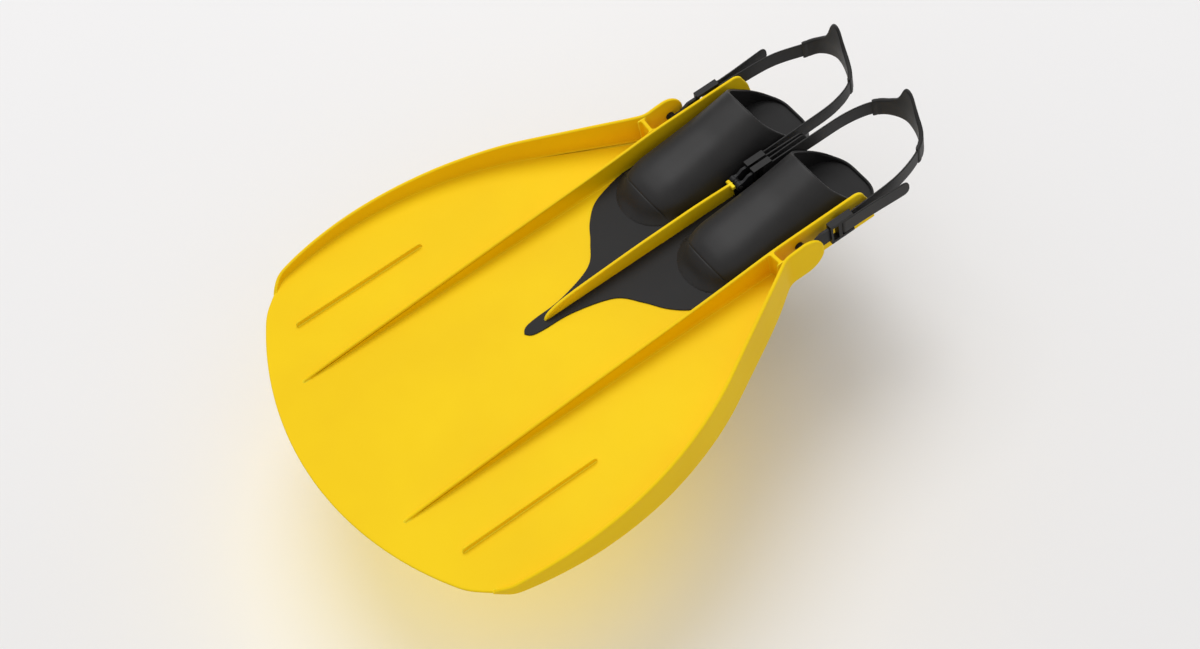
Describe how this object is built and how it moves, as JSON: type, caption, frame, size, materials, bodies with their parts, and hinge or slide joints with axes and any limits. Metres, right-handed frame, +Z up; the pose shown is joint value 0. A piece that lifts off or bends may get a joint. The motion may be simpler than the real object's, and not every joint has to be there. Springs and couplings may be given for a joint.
{
  "type": "swimming monofin",
  "caption": "Wide-blade swimming monofin with side-by-side open-heel foot pockets and heel straps that swing on pin swivels and lock in roller buckles.",
  "frame": {"origin": "centre of the bounding box's bottom face, on the ground the soles stand on", "axes": "+X to the swimmer's side, +Y from the blade's trailing edge to the heel straps, +Z up out of the blade's top face"},
  "size_m": [0.568, 0.8268, 0.109],
  "materials": {
    "yellow_plastic": "semi-gloss",
    "black_rubber": "matte",
    "grey_rubber": "matte",
    "black_plastic": "satin",
    "steel": "brushed"
  },
  "bodies": {
    "fin": {"blade_panel": "yellow_plastic", "flange_left": "yellow_plastic", "flange_right": "yellow_plastic", "rail_left": "yellow_plastic", "rail_right": "yellow_plastic", "short_ribs": "yellow_plastic", "keel_rib": "yellow_plastic", "rubber_web": "black_rubber", "centre_bridge": "black_plastic", "sole_left": "black_rubber", "sole_right": "black_rubber", "toe_cap_left": "grey_rubber", "toe_cap_right": "grey_rubber", "pocket_left": "black_rubber", "pocket_right": "black_rubber", "pin_left": "steel", "pin_right": "steel", "pin_centre": "steel"},
    "harness_left": {"link_outer_left": "black_plastic", "link_inner_left": "black_plastic", "frame_outer_left": "black_plastic", "frame_inner_left": "black_plastic", "strap_left": "black_rubber", "heel_pad_left": "grey_rubber"},
    "harness_right": {"link_outer_right": "black_plastic", "link_inner_right": "black_plastic", "frame_outer_right": "black_plastic", "frame_inner_right": "black_plastic", "strap_right": "black_rubber", "heel_pad_right": "grey_rubber"},
    "locking_roller_outer_left": {"roller_outer_left": "steel"},
    "locking_roller_inner_left": {"roller_inner_left": "steel"},
    "locking_roller_outer_right": {"roller_outer_right": "steel"},
    "locking_roller_inner_right": {"roller_inner_right": "steel"}
  },
  "joints": [
    {"name": "harness_left_swing", "type": "hinge", "parent": "fin", "child": "harness_left", "pos_m": [-0.133, 0.2006, 0.045], "axis": [1, 0, 0], "range_deg": [-8, 80]},
    {"name": "harness_right_swing", "type": "hinge", "parent": "fin", "child": "harness_right", "pos_m": [0.133, 0.2006, 0.045], "axis": [1, 0, 0], "range_deg": [-8, 80]},
    {"name": "roller_outer_left_slide", "type": "slide", "parent": "harness_left", "child": "locking_roller_outer_left", "axis": [0, 1, 0], "range_m": [0, 0.002]},
    {"name": "roller_inner_left_slide", "type": "slide", "parent": "harness_left", "child": "locking_roller_inner_left", "axis": [0, 1, 0], "range_m": [0, 0.002]},
    {"name": "roller_outer_right_slide", "type": "slide", "parent": "harness_right", "child": "locking_roller_outer_right", "axis": [0, 1, 0], "range_m": [0, 0.002]},
    {"name": "roller_inner_right_slide", "type": "slide", "parent": "harness_right", "child": "locking_roller_inner_right", "axis": [0, 1, 0], "range_m": [0, 0.002]}
  ]
}
